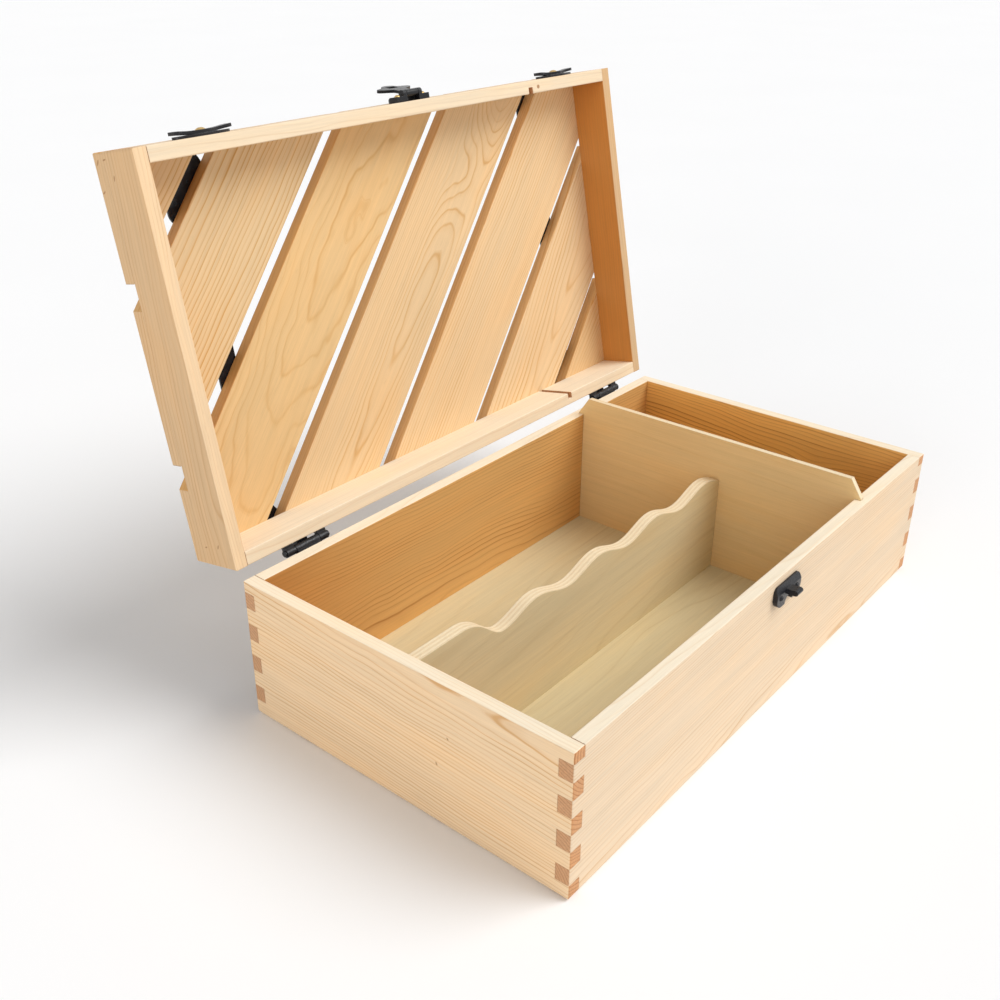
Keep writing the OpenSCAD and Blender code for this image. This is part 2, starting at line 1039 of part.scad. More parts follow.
// The tongue hangs down from the middle of its pin
module latch_tongue() {
    slot_half = hook_thickness / 2 + hook_room;
    slot_width = hook_width + 2 * hook_room;
    color(black_iron)
        lid_open()
            tongue_turned()
                difference() {
                    union() {
                        along_y(-tongue_thickness / 2, tongue_thickness / 2)
                            tongue_outline();
                        along_x(-tongue_neck / 2, tongue_neck / 2)
                            circle(latch_barrel);
                    }
                    along_x(-tongue_neck, tongue_neck)
                        circle(latch_pin_radius + pin_clearance);
                    along_y(-latch_stand, latch_stand)
                        eased_rect(
                            [-slot_width / 2, -hook_radius - slot_half],
                            [slot_width / 2, -hook_radius + slot_half],
                            [hook_room, hook_room, hook_room, hook_room]
                        );
                }
}

// Catch

// The hook follows the circle of the tongue's slot about the latch pin
module catch_hook() {
    end = [-hook_radius * sin(hook_angle), -hook_radius * cos(hook_angle)];
    cut = 2 * hook_radius;
    along_x(-hook_width / 2, hook_width / 2)
        translate([latch_axis_y, latch_axis_z]) {
            intersection() {
                difference() {
                    circle(hook_radius + hook_thickness / 2);
                    circle(hook_radius - hook_thickness / 2);
                }
                polygon([
                    [0, 0],
                    [-cut * sin(hook_angle), -cut * cos(hook_angle)],
                    [latch_stand - latch_edge, -cut],
                    [latch_stand - latch_edge, 0]
                ]);
            }
            translate(end)
                circle(hook_thickness / 2);
        }
}

module catch_plate() {
    half = catch_width / 2;
    bottom = catch_top - catch_height;
    radii = [catch_corner, catch_corner, catch_corner / 2, catch_corner / 2];
    color(black_iron)
        difference() {
            union() {
                intersection() {
                    along_x(-half, half)
                        bevelled_plate(bottom, catch_top, catch_thickness);
                    along_y(-half_width - catch_thickness, -half_width)
                        eased_rect([-half, bottom], [half, catch_top], radii);
                }
                catch_hook();
            }
            translate([0, -half_width + small, bottom])
                rotate([90, 0, 0])
                    cylinder(r = catch_notch, h = catch_thickness + 1);
            catch_nail_places()
                nail_bore();
        }
}

front_wall();
back_wall();
left_end_wall();
right_end_wall();
bottom_panel();
cross_divider();
bottle_separator();
lid_front_rail();
lid_back_rail();
lid_left_side();
lid_right_side();
slat(1);  // slat_1
slat(2);  // slat_2
slat(3);  // slat_3
slat(4);  // slat_4
slat(5);  // slat_5
slat(6);  // slat_6
slat(7);  // slat_7
strap(-1);  // left_strap
strap(1);  // right_strap
bow(-1);  // left_bow
bow(1);  // right_bow
strap_nails();
brass_nails();
hinge_leaf(-1);  // left_hinge_leaf
hinge_leaf(1);  // right_hinge_leaf
hinge_pin(-1);  // left_hinge_pin
hinge_pin(1);  // right_hinge_pin
leaf_nails();
latch_base();
latch_pin();
latch_tongue();
latch_nails();
catch_plate();
catch_nails();
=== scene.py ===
# Looks for the wooden wine box: camera, light, floor and procedural materials.
import math

import bpy
from mathutils import Matrix, Vector

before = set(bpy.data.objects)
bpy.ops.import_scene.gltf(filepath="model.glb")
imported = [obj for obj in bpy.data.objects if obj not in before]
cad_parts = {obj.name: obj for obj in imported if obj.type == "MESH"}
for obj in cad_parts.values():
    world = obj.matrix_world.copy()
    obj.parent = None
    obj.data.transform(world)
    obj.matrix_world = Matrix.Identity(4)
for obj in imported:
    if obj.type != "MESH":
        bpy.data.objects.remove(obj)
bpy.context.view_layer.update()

# ---------------------------------------------------------------- sizes, in millimetres
SLATS_UNDERSIDE = 120.4
SLATS_TOP = 129.4
SLAT_ANGLE = math.radians(47.0)
SLAT_PITCH = 70.0
SLAT_SHIFT = 3.0
HINGE_AXIS = Vector((0.0, 119.0, 92.2))
OPEN_TURN = Matrix.Rotation(math.radians(-101.0), 3, "X")
NO_TURN = Matrix.Identity(3)

# ---------------------------------------------------------------- camera
CAMERA_PLACE = (-0.53595, -0.34282, 0.42916)
CAMERA_ROWS = (
    (0.63581, -0.77184, 0.00363),
    (-0.35536, -0.2969, -0.88632),
    (0.68518, 0.56224, -0.46305),
)
FOCAL_PIXELS = 1142.87
PICTURE_PIXELS = 1000.0
SENSOR = 36.0

NEAREST = 0.01
right, down, ahead = (Vector(row) for row in CAMERA_ROWS)
camera_data = bpy.data.cameras.new("camera")
camera_data.sensor_width = SENSOR
camera_data.lens = FOCAL_PIXELS * SENSOR / PICTURE_PIXELS
camera_data.clip_start = NEAREST
camera = bpy.data.objects.new("camera", camera_data)
turn = Matrix((right, -down, -ahead)).transposed().to_4x4()
camera.matrix_world = Matrix.Translation(CAMERA_PLACE) @ turn
bpy.context.scene.collection.objects.link(camera)
bpy.context.scene.camera = camera


# ---------------------------------------------------------------- node helpers
class Graph:
    """A material's node tree, built by short calls."""

    def __init__(self, name):
        self.material = bpy.data.materials.new(name)
        self.material.use_nodes = True
        self.tree = self.material.node_tree
        self.tree.nodes.clear()
        self.output = self.add("ShaderNodeOutputMaterial")

    def add(self, kind, **settings):
        node = self.tree.nodes.new(kind)
        for key, value in settings.items():
            setattr(node, key, value)
        return node

    def put(self, socket, value):
        if isinstance(value, bpy.types.NodeSocket):
            self.tree.links.new(value, socket)
        elif value is not None:
            socket.default_value = value

    def math(self, operation, a, b=None, c=None, clamp=False):
        node = self.add("ShaderNodeMath", operation=operation, use_clamp=clamp)
        for socket, value in zip(node.inputs, (a, b, c)):
            self.put(socket, value)
        return node.outputs[0]

    def vector(self, operation, a, b=None, scale=None):
        node = self.add("ShaderNodeVectorMath", operation=operation)
        self.put(node.inputs[0], a)
        self.put(node.inputs[1], b)
        if scale is not None:
            self.put(node.inputs["Scale"], scale)
        return node.outputs["Value" if operation in ("DOT_PRODUCT", "LENGTH") else "Vector"]

    def combine(self, x, y, z):
        node = self.add("ShaderNodeCombineXYZ")
        for socket, value in zip(node.inputs, (x, y, z)):
            self.put(socket, value)
        return node.outputs[0]

    def noise(self, vector, scale=1.0, detail=2.0, roughness=0.5, distortion=0.0):
        node = self.add("ShaderNodeTexNoise")
        self.put(node.inputs["Vector"], vector)
        self.put(node.inputs["Scale"], scale)
        self.put(node.inputs["Detail"], detail)
        self.put(node.inputs["Roughness"], roughness)
        self.put(node.inputs["Distortion"], distortion)
        return node.outputs["Fac"]

    def ramp(self, factor, stops, interpolation="LINEAR"):
        node = self.add("ShaderNodeValToRGB")
        node.color_ramp.interpolation = interpolation
        elements = node.color_ramp.elements
        while len(elements) < len(stops):
            elements.new(0.5)
        for element, (place, value) in zip(elements, stops):
            element.position = place
            element.color = (value, value, value, 1.0)
        self.put(node.inputs[0], factor)
        return node.outputs[0]

    def span(self, value, low, high, to_low=0.0, to_high=1.0, soft=True):
        node = self.add("ShaderNodeMapRange")
        node.interpolation_type = "SMOOTHSTEP" if soft else "LINEAR"
        for socket, item in zip(node.inputs, (value, low, high, to_low, to_high)):
            self.put(socket, item)
        return node.outputs[0]

    def mix(self, factor, a, b, blend="MIX"):
        node = self.add("ShaderNodeMix", data_type="RGBA", blend_type=blend)
        self.put(node.inputs[0], factor)
        self.put(node.inputs[6], tint(a))
        self.put(node.inputs[7], tint(b))
        return node.outputs[2]

    def grey(self, value):
        return self.combine(value, value, value)

    def surface(self, colour, roughness, metallic=0.0, specular=0.5, normal=None, coat=0.0,
                coat_roughness=0.3):
        shader = self.add("ShaderNodeBsdfPrincipled")
        self.put(shader.inputs["Base Color"], tint(colour))
        self.put(shader.inputs["Roughness"], roughness)
        self.put(shader.inputs["Metallic"], metallic)
        self.put(shader.inputs["Specular IOR Level"], specular)
        self.put(shader.inputs["Coat Weight"], coat)
        self.put(shader.inputs["Coat Roughness"], coat_roughness)
        if normal is not None:
            self.put(shader.inputs["Normal"], normal)
        self.tree.links.new(shader.outputs[0], self.output.inputs[0])
        return shader

    def bump(self, height, strength, distance, radius=0.0):
        node = self.add("ShaderNodeBump")
        self.put(node.inputs["Height"], height)
        self.put(node.inputs["Strength"], strength)
        self.put(node.inputs["Distance"], distance)
        if radius > 0:
            bevel = self.add("ShaderNodeBevel", samples=4)
            bevel.inputs["Radius"].default_value = radius
            self.put(node.inputs["Normal"], bevel.outputs[0])
        return node.outputs[0]


def tint(value):
    if isinstance(value, (tuple, list)) and len(value) == 3:
        return (*value, 1.0)
    return value


# ---------------------------------------------------------------- wood
MM_PER_METRE = 1000.0
END_TINT = (0.74, 0.52, 0.38)
END_DARKER = (0.74, 0.64, 0.54)
BRAD_BROWN = (0.40, 0.20, 0.08)
KNOT_BROWN = (0.32, 0.15, 0.06)
WARM_TINT = (0.98, 0.88, 0.74)
COOL_TINT = (1.0, 1.03, 1.06)
# How dark the wood is from one yearly ring's start to its end
RING_PROFILE = ((0.0, 0.40), (0.07, 0.03), (0.50, 0.04), (0.78, 0.24), (0.93, 1.0), (1.0, 0.40))
SEED_STEP = 17.31
EULER = 2.718
WOOD_BUMP = 0.00018
WOOD_ROUNDING = 0.0007


def board_axes(graph, turn, centre, grain, across):
    """Place along the grain, across it and through the board, in millimetres, and the face's slant."""
    grain = Vector(grain).normalized()
    across = Vector(across).normalized()
    through = grain.cross(across)
    coordinates = graph.add("ShaderNodeTexCoord")
    place = graph.vector("SCALE", coordinates.outputs["Object"], scale=MM_PER_METRE)
    results = []
    slants = []
    for axis in (grain, across, through):
        turned = turn @ axis
        offset = (HINGE_AXIS - Vector(centre)).dot(axis) - HINGE_AXIS.dot(turned)
        along = graph.vector("DOT_PRODUCT", place, tuple(turned))
        results.append(graph.math("ADD", along, offset))
        slants.append(graph.vector("DOT_PRODUCT", coordinates.outputs["Normal"], tuple(turned)))
    return results, slants


class Timber:
    """Sawn softwood in a graph: yearly rings about a pith line, cut by the board, fibres, end grain."""

    def __init__(self, graph, turn, centre, grain, across, seed, early, late, ring=3.2, pith=(120.0, -40.0),
                 tilt=(0.0, 0.0), wobble=7.0, contrast=1.0, knots=(), inside_shading=None, inner_sign=0,
                 inside_shadow_fade=None, rim_shading=None, end=END_TINT, end_from=0.6, edge=None, flame=0.0, eyes=(),
                 marks=(), rim_marks=()):
        self.graph = graph
        (g, a, d), (slant_g, slant_a, slant_d) = board_axes(graph, turn, centre, grain, across)
        self.place = (g, a, d)
        self.slants = (slant_g, slant_a, slant_d)
        shift = seed * SEED_STEP
        radius, knot_dark = self.rings(shift, pith, tilt, wobble, knots, flame, eyes)
        widths = graph.noise(graph.combine(graph.math("MULTIPLY", radius, 0.05), shift, 0.0), 1.0, 2.0)
        count = graph.math("MULTIPLY_ADD", graph.math("SUBTRACT", widths, 0.5), 3.0,
                           graph.math("DIVIDE", radius, ring))
        fraction = graph.math("FRACT", count)
        year = graph.add("ShaderNodeTexWhiteNoise", noise_dimensions="1D")
        graph.put(year.inputs["W"], graph.math("ADD", graph.math("FLOOR", count), shift))
        band = graph.ramp(fraction, RING_PROFILE, "EASE")
        strength = graph.math("MULTIPLY_ADD", year.outputs["Value"], 0.65, 0.40)
        fade = graph.span(graph.noise(self.slow, 2.3, 2.0), 0.3, 0.7, 0.5, 1.1)
        late_share = graph.math("MULTIPLY", graph.math("MULTIPLY", band, strength),
                                graph.math("MULTIPLY", fade, contrast), clamp=True)
        fibre = graph.noise(self.stretched(0.035, shift, 2.0), 1.0, 4.0, 0.65)
        streak = graph.noise(self.stretched(0.007, -shift, 0.55), 1.0, 3.0, 0.6)
        pores = graph.span(graph.noise(self.stretched(0.11, -shift, 3.0), 1.0, 1.0), 0.66, 0.78)
        patch = graph.noise(self.stretched(0.008, shift * 2, 0.030), 1.0, 3.0, 0.55)

        colour = graph.mix(late_share, early, late)
        # Painted light and shade: inside faces take their own colours, darker and oranger for the shade and
        # bounce light inside the box, and where asked a painted shadow that deepens along the board.
        if inside_shading is not None:
            side = graph.span(graph.math("MULTIPLY", slant_d, inner_sign), 0.35, 0.75)
            inside_shading_early = inside_shading[0]
            if inside_shadow_fade is not None:
                fade_start, fade_end, fade_shadow_colour = inside_shadow_fade
                place = graph.math("ADD", g, graph.math("MULTIPLY", patch, 60.0))
                shadow_fade_mask = graph.span(place, fade_start, fade_end)
                inside_shading_early = graph.mix(shadow_fade_mask, fade_shadow_colour, inside_shading[0])
            colour = graph.mix(side, colour, graph.mix(late_share, inside_shading_early, inside_shading[1]))
        # Painted light and shade: rims take their own colours, paler where a rim faces the light and darker
        # where it lies in shade.
        if rim_shading is not None:
            rim_shading_mask = graph.span(graph.math("MULTIPLY", slant_a, rim_shading[1]), 0.5, 0.9)
            colour = graph.mix(rim_shading_mask, colour, graph.mix(graph.math("MULTIPLY", late_share, 0.6), *rim_shading[0]))
        # Painted shade: the slats' long edges are darkened by a multiply colour.
        if edge is not None:
            colour = graph.mix(graph.span(graph.math("ABSOLUTE", slant_a), 0.55, 0.85), colour,
                               graph.mix(1.0, colour, edge, "MULTIPLY"))
        tone = graph.math("ADD", graph.span(patch, 0.25, 0.75, 0.93, 1.06, False),
                          graph.span(fibre, 0.25, 0.75, -0.060, 0.050, False))
        tone = graph.math("ADD", tone, graph.span(streak, 0.25, 0.75, -0.055, 0.045, False))
        tone = graph.math("MULTIPLY_ADD", pores, -0.11, tone)
        if knot_dark is not None:
            colour = graph.mix(graph.math("MULTIPLY", knot_dark, 0.75), colour, KNOT_BROWN)
        warm = graph.mix(graph.span(patch, 0.42, 0.78, 0.0, 0.6), colour, WARM_TINT, "MULTIPLY")
        pale = graph.mix(graph.span(patch, 0.25, 0.45, 0.5, 0.0), warm, COOL_TINT, "MULTIPLY")
        colour = graph.mix(1.0, pale, graph.grey(tone), "MULTIPLY")
        if end is not None:
            end_face = graph.span(graph.math("ABSOLUTE", slant_g), end_from, end_from + 0.2)
            rays = graph.noise(graph.combine(
                graph.math("MULTIPLY", a, 0.9), graph.math("MULTIPLY", d, 0.9), shift), 1.0, 4.0, 0.7)
            dark_end = tuple(part * share for part, share in zip(end, END_DARKER))
            end_tone = graph.mix(graph.math("MULTIPLY", band, 0.75), end, dark_end)
            ray_tone = graph.grey(graph.span(rays, 0.3, 0.7, 0.86, 1.12, False))
            end_tone = graph.mix(1.0, end_tone, ray_tone, "MULTIPLY")
            colour = graph.mix(end_face, colour, graph.mix(1.0, colour, end_tone, "MULTIPLY"))
        for spots, second in ((marks, a), (rim_marks, d)):
            for spot in spots:
                colour = graph.mix(self.spot(second, *spot), colour, BRAD_BROWN)
        self.colour = colour
        self.fibre = fibre
        self.height = graph.math("ADD", graph.math("MULTIPLY", late_share, 0.5),
                                 graph.math("SUBTRACT", fibre, graph.math("MULTIPLY", pores, 0.5)))

    def stretched(self, along, offset, beside):
        """The place in the board, drawn out along the grain, for fibres and streaks."""
        g, a, d = self.place
        return self.graph.combine(
            self.graph.math("MULTIPLY_ADD", g, along, offset),
            self.graph.math("MULTIPLY", a, beside),
            self.graph.math("MULTIPLY", d, beside))

    def wave(self, vector, detail, roughness, height):
        """Noise about zero, in millimetres."""
        centred = self.graph.math("SUBTRACT", self.graph.noise(vector, 1.0, detail, roughness), 0.5)
        return self.graph.math("MULTIPLY", centred, height)

    def length(self, first, second):
        """The length of a vector of two parts."""
        squares = (self.graph.math("MULTIPLY", part, part) for part in (first, second))
        return self.graph.math("SQRT", self.graph.math("ADD", *squares))

    def rings(self, shift, pith, tilt, wobble, knots, flame, eyes):
        """Distance from the pith line, bent by slow waves and eyes and pushed aside by knots."""
        graph = self.graph
        g, a, d = self.place
        self.slow = graph.combine(
            graph.math("MULTIPLY_ADD", g, 0.0045, shift),
            graph.math("MULTIPLY_ADD", a, 0.016, -shift),
            graph.math("MULTIPLY", d, 0.02))
        slow_d = graph.combine(
            graph.math("MULTIPLY_ADD", g, 0.006, -shift),
            graph.math("MULTIPLY_ADD", a, 0.012, shift),
            graph.math("MULTIPLY", d, 0.02))
        quick = graph.combine(
            graph.math("MULTIPLY_ADD", g, 0.022, shift),
            graph.math("MULTIPLY_ADD", a, 0.05, shift),
            graph.math("MULTIPLY", d, 0.05))
        wave_a = self.wave(self.slow, 3.0, 0.45, wobble * 2)
        wave_d = self.wave(slow_d, 2.0, 0.5, wobble * 2.4)
        ripple = self.wave(quick, 2.0, 0.5, 2.2 + flame)
        pith_a = graph.math("MULTIPLY_ADD", g, -tilt[0], -pith[0])
        pith_d = graph.math("MULTIPLY_ADD", g, -tilt[1], -pith[1])
        off_a = graph.math("ADD", pith_a, graph.math("ADD", a, wave_a))
        off_d = graph.math("ADD", pith_d, graph.math("ADD", d, wave_d))
        radius = graph.math("ADD", ripple, self.length(off_a, off_d))
        for eye_g, eye_a, length, width, depth in eyes:
            dg = graph.math("DIVIDE", graph.math("SUBTRACT", g, eye_g), length)
            da = graph.math("DIVIDE", graph.math("SUBTRACT", a, eye_a), width)
            away = graph.math("ADD", graph.math("MULTIPLY", dg, dg), graph.math("MULTIPLY", da, da))
            bulge = graph.math("POWER", EULER, graph.math("MULTIPLY", away, -1.0))
            radius = graph.math("MULTIPLY_ADD", bulge, depth, radius)
        dark = None
        for knot_g, knot_a, size in knots:
            dg = graph.math("MULTIPLY", graph.math("SUBTRACT", g, knot_g), 0.55)
            da = graph.math("SUBTRACT", a, knot_a)
            away = self.length(dg, da)
            push = graph.math("POWER", EULER, graph.math("MULTIPLY", away, -0.55 / size))
            radius = graph.math("MULTIPLY_ADD", push, size * 1.9, radius)
            core = graph.span(away, size * 0.35, size * 0.75, 1.0, 0.0)
            dark = core if dark is None else graph.math("MAXIMUM", dark, core)
        return radius, dark

    def spot(self, second, run, rise, long_half, short_half, lean):
        """A filled brad hole, longer along its driver's blade."""
        graph = self.graph
        dg = graph.math("SUBTRACT", self.place[0], run)
        da = graph.math("SUBTRACT", second, rise)
        along = graph.math("ADD", graph.math("MULTIPLY", dg, math.cos(lean) / long_half),
                           graph.math("MULTIPLY", da, math.sin(lean) / long_half))
        beside = graph.math("SUBTRACT", graph.math("MULTIPLY", da, math.cos(lean) / short_half),
                            graph.math("MULTIPLY", dg, math.sin(lean) / short_half))
        return graph.span(self.length(along, beside), 0.75, 1.2, 0.9, 0.0)

    def finish(self, colour=None):
        graph = self.graph
        roughness = graph.span(self.fibre, 0.2, 0.8, 0.50, 0.66, False)
        normal = graph.bump(self.height, 0.35, WOOD_BUMP, WOOD_ROUNDING)
        graph.surface(self.colour if colour is None else colour, roughness, 0.0, 0.3, normal)
        return graph.material


def wood(name, turn, centre, grain, across, **settings):
    return Timber(Graph(name), turn, centre, grain, across, **settings).finish()


def plywood(name, centre, grain, across, plies, edge_pale, edge_dark, **settings):
    """Plywood shows its layers only on its edges."""
    graph = Graph(name)
    timber = Timber(graph, NO_TURN, centre, grain, across, end=None, **settings)
    g, a, d = timber.place
    face = graph.span(graph.math("ABSOLUTE", timber.slants[2]), 0.6, 0.8)
    layer = graph.math("PINGPONG", graph.math("ADD", d, 0.35), plies)
    stripe = graph.span(layer, plies * 0.42, plies * 0.58, 0.0, 0.55)
    speckle = graph.noise(graph.combine(
        graph.math("MULTIPLY", g, 0.4),
        graph.math("MULTIPLY", a, 0.4),
        graph.math("MULTIPLY", d, 3.0)), 1.0, 3.0)
    edge = graph.mix(stripe, edge_pale, edge_dark)
    edge = graph.mix(1.0, edge, graph.grey(graph.span(speckle, 0.3, 0.7, 0.9, 1.06, False)), "MULTIPLY")
    return timber.finish(graph.mix(face, edge, timber.colour))


IRON_DARK = (0.006, 0.006, 0.008)
IRON_LIGHT = (0.016, 0.016, 0.019)
IRON_EDGE = (0.060, 0.060, 0.065)
PEEL_SCALE = 900.0
DENT_SCALE = 330.0
IRON_ROUNDING = 0.0006
IRON_BUMP = 0.0004
BRASS_LIGHT = (0.62, 0.43, 0.17)
BRASS_DARK = (0.42, 0.27, 0.10)


def iron(name, hammer=0.0):
    """Black lacquered iron: fine orange peel, blotches, greyer edges, and dents where hammered."""
    graph = Graph(name)
    coordinates = graph.add("ShaderNodeTexCoord").outputs["Object"]
    peel = graph.noise(coordinates, PEEL_SCALE, 3.0, 0.55)
    blotch = graph.noise(coordinates, 60.0, 4.0, 0.6)
    bevel = graph.add("ShaderNodeBevel", samples=4)
    bevel.inputs["Radius"].default_value = IRON_ROUNDING
    geometry = graph.add("ShaderNodeNewGeometry")
    same = graph.vector("DOT_PRODUCT", bevel.outputs[0], geometry.outputs["Normal"])
    worn = graph.math("ADD", same, graph.math("MULTIPLY", blotch, 0.10))
    edge = graph.span(worn, 0.86, 1.02, 1.0, 0.0)
    base = graph.mix(graph.span(blotch, 0.35, 0.7), IRON_DARK, IRON_LIGHT)
    colour = graph.mix(graph.math("MULTIPLY", edge, 0.40), base, IRON_EDGE)
    roughness = graph.span(blotch, 0.3, 0.7, 0.22, 0.38, False)
    height = peel
    if hammer > 0:
        dents = graph.add("ShaderNodeTexVoronoi", feature="SMOOTH_F1")
        graph.put(dents.inputs["Vector"], coordinates)
        dents.inputs["Scale"].default_value = DENT_SCALE
        dents.inputs["Smoothness"].default_value = 0.8
        height = graph.math("MULTIPLY_ADD", dents.outputs["Distance"], hammer, peel)
    node = graph.add("ShaderNodeBump")
    graph.put(node.inputs["Height"], height)
    node.inputs["Strength"].default_value = 0.45
    node.inputs["Distance"].default_value = IRON_BUMP
    graph.put(node.inputs["Normal"], bevel.outputs[0])
    graph.surface(colour, roughness, 0.0, 0.26, node.outputs[0], 0.10, 0.12)
    return graph.material


def brass(name):
    """Lacquered brass with fine grit and darker patches."""
    graph = Graph(name)
    coordinates = graph.add("ShaderNodeTexCoord").outputs["Object"]
    cloud = graph.noise(coordinates, 380.0, 4.0, 0.6)
    fine = graph.noise(coordinates, 2600.0, 2.0, 0.6)
    colour = graph.mix(graph.span(cloud, 0.35, 0.7), BRASS_LIGHT, BRASS_DARK)
    normal = graph.bump(fine, 0.25, 0.0001)
    graph.surface(colour, graph.span(cloud, 0.3, 0.7, 0.25, 0.42, False), 1.0, 0.5, normal)
    return graph.material


def wear(node, material):
    """Gives a node of the frame its material."""
    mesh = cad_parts[node].data
    mesh.materials.clear()
    mesh.materials.append(material)


X, Y, Z = (1, 0, 0), (0, 1, 0), (0, 0, 1)
CREAM = (0.825, 0.650, 0.460)
CREAM_LATE = (0.690, 0.445, 0.230)
HONEY = (0.890, 0.655, 0.410)
HONEY_LATE = (0.700, 0.405, 0.175)
TAN = (0.695, 0.462, 0.250)
TAN_LATE = (0.550, 0.295, 0.115)
# Painted highlight for lit rims and lit inside faces
LIT_FACE = (0.955, 0.845, 0.660)
LIT_FACE_LATE = (0.860, 0.680, 0.460)
# Painted highlight for the lid rails' rims
LIT_RAIL_RIM = (0.895, 0.730, 0.520)
LIT_RAIL_RIM_LATE = (0.760, 0.560, 0.350)
# Painted shade and bounce light for inside faces; the deepest one is a painted shadow
SHADED_INSIDE = (0.760, 0.440, 0.155)
SHADED_INSIDE_LATE = (0.450, 0.190, 0.045)
BOUNCE_LIT_INSIDE = (0.900, 0.530, 0.165)
DEEP_SHADED_INSIDE = (0.540, 0.220, 0.045)
GOLD = (0.850, 0.600, 0.335)
GOLD_LATE = (0.660, 0.345, 0.100)

# node: centre, grain, across, early, late, settings. Marks are brad holes: along the grain, across
# the board, half length, half width, lean
# Inside-face and rim colours in these tables are painted light and shade.
BOX_BOARDS = {
    "front_wall": ((0, -110.75, 46), X, Z, CREAM, CREAM_LATE, dict(
        seed=1, ring=1.8, pith=(-46, -26), tilt=(0.02, 0.03), wobble=5, contrast=1.1,
        inside_shading=(SHADED_INSIDE, SHADED_INSIDE_LATE), inner_sign=-1, rim_shading=((LIT_FACE, LIT_FACE_LATE), 1))),
    # The back wall's inside carries a painted shadow, deepest towards its left end.
    "back_wall": ((0, 110.75, 46), X, Z, CREAM, CREAM_LATE, dict(
        seed=2, ring=2.2, pith=(-50, -40), tilt=(-0.03, 0.0), wobble=7, contrast=1.0,
        inside_shading=(SHADED_INSIDE, SHADED_INSIDE_LATE), inner_sign=1, inside_shadow_fade=(-230, -40, DEEP_SHADED_INSIDE), rim_shading=((LIT_FACE, LIT_FACE_LATE), 1))),
    "left_end_wall": ((-200.75, 0, 46), Y, Z, HONEY, HONEY_LATE, dict(
        seed=3, ring=2.1, pith=(50, 26), tilt=(0.05, 0.01), wobble=5, contrast=1.5,
        marks=((-38, 14.0, 0.9, 0.45, 0.9), (-30, -6.0, 1.2, 0.5, 1.2)),
        inside_shading=(SHADED_INSIDE, SHADED_INSIDE_LATE), inner_sign=1, rim_shading=((LIT_FACE, LIT_FACE_LATE), 1))),
    "right_end_wall": ((200.75, 0, 46), Y, Z, HONEY, HONEY_LATE, dict(
        seed=4, ring=2.4, pith=(-60, 40), tilt=(0.03, 0.0), wobble=7, contrast=1.1,
        inside_shading=(BOUNCE_LIT_INSIDE, SHADED_INSIDE_LATE), inner_sign=-1, knots=((-38, 14, 5.0),), rim_shading=((LIT_FACE, LIT_FACE_LATE), 1))),
}
LEFT_SIDE = ((-200.75, 0, 110.9), Y, Z)
LEFT_LOOK = dict(seed=7, early=TAN, late=TAN_LATE, ring=2.0, pith=(-26, 24), tilt=(0.09, 0.02), wobble=5,
                 contrast=1.1, end_from=0.85, marks=(
                     (-110.0, 15.0, 1.8, 0.55, 0.6), (-95.0, 16.0, 1.5, 0.5, 1.1),
                     (-101.5, 3.5, 1.6, 0.5, 0.3), (-111.0, 8.5, 1.4, 0.45, 1.4),
                     (102.0, -6.5, 1.6, 0.5, 0.5), (104.0, 5.5, 1.2, 0.45, 1.2)))
RIGHT_SIDE = ((200.75, 0, 110.9), Y, Z)
RIGHT_LOOK = dict(seed=8, early=HONEY, late=HONEY_LATE, ring=2.2, pith=(-50, -30), tilt=(0.02, 0.0), wobble=6,
                  contrast=1.1, end_from=0.85)
LID_BOARDS = {
    "lid_front_rail": ((0, -110.75, 106.4), X, Z, CREAM, CREAM_LATE, dict(
        seed=5, ring=2.2, pith=(-60, 30), tilt=(0.02, 0.0), wobble=5, rim_shading=((LIT_RAIL_RIM, LIT_RAIL_RIM_LATE), -1),
        rim_marks=((120.0, -0.3, 1.5, 1.3, 0.0),))),
    "lid_back_rail": ((0, 110.75, 106.4), X, Z, CREAM, CREAM_LATE, dict(
        seed=6, ring=2.2, pith=(-90, 30), wobble=4, contrast=0.8, inside_shading=(LIT_FACE, LIT_FACE_LATE), inner_sign=1,
        rim_shading=((LIT_RAIL_RIM, HONEY_LATE), -1))),
    "lid_left_side": (*LEFT_SIDE, TAN, TAN_LATE, dict(
        LEFT_LOOK, inside_shading=(SHADED_INSIDE, SHADED_INSIDE_LATE), inner_sign=1, rim_shading=((HONEY, HONEY_LATE), -1))),
    "lid_right_side": (*RIGHT_SIDE, HONEY, HONEY_LATE, dict(
        RIGHT_LOOK, inside_shading=(DEEP_SHADED_INSIDE, SHADED_INSIDE_LATE), inner_sign=-1, rim_shading=((TAN, TAN_LATE), -1))),
}

for boards, turned in ((BOX_BOARDS, NO_TURN), (LID_BOARDS, OPEN_TURN)):
    for node, (centre, grain, across, early, late, settings) in boards.items():
        look = {"early": early, "late": late, **settings}
        wear(node, wood(node, turned, centre, grain, across, **look))

slat_grain = (math.cos(SLAT_ANGLE), -math.sin(SLAT_ANGLE), 0)
slat_across = (math.sin(SLAT_ANGLE), math.cos(SLAT_ANGLE), 0)
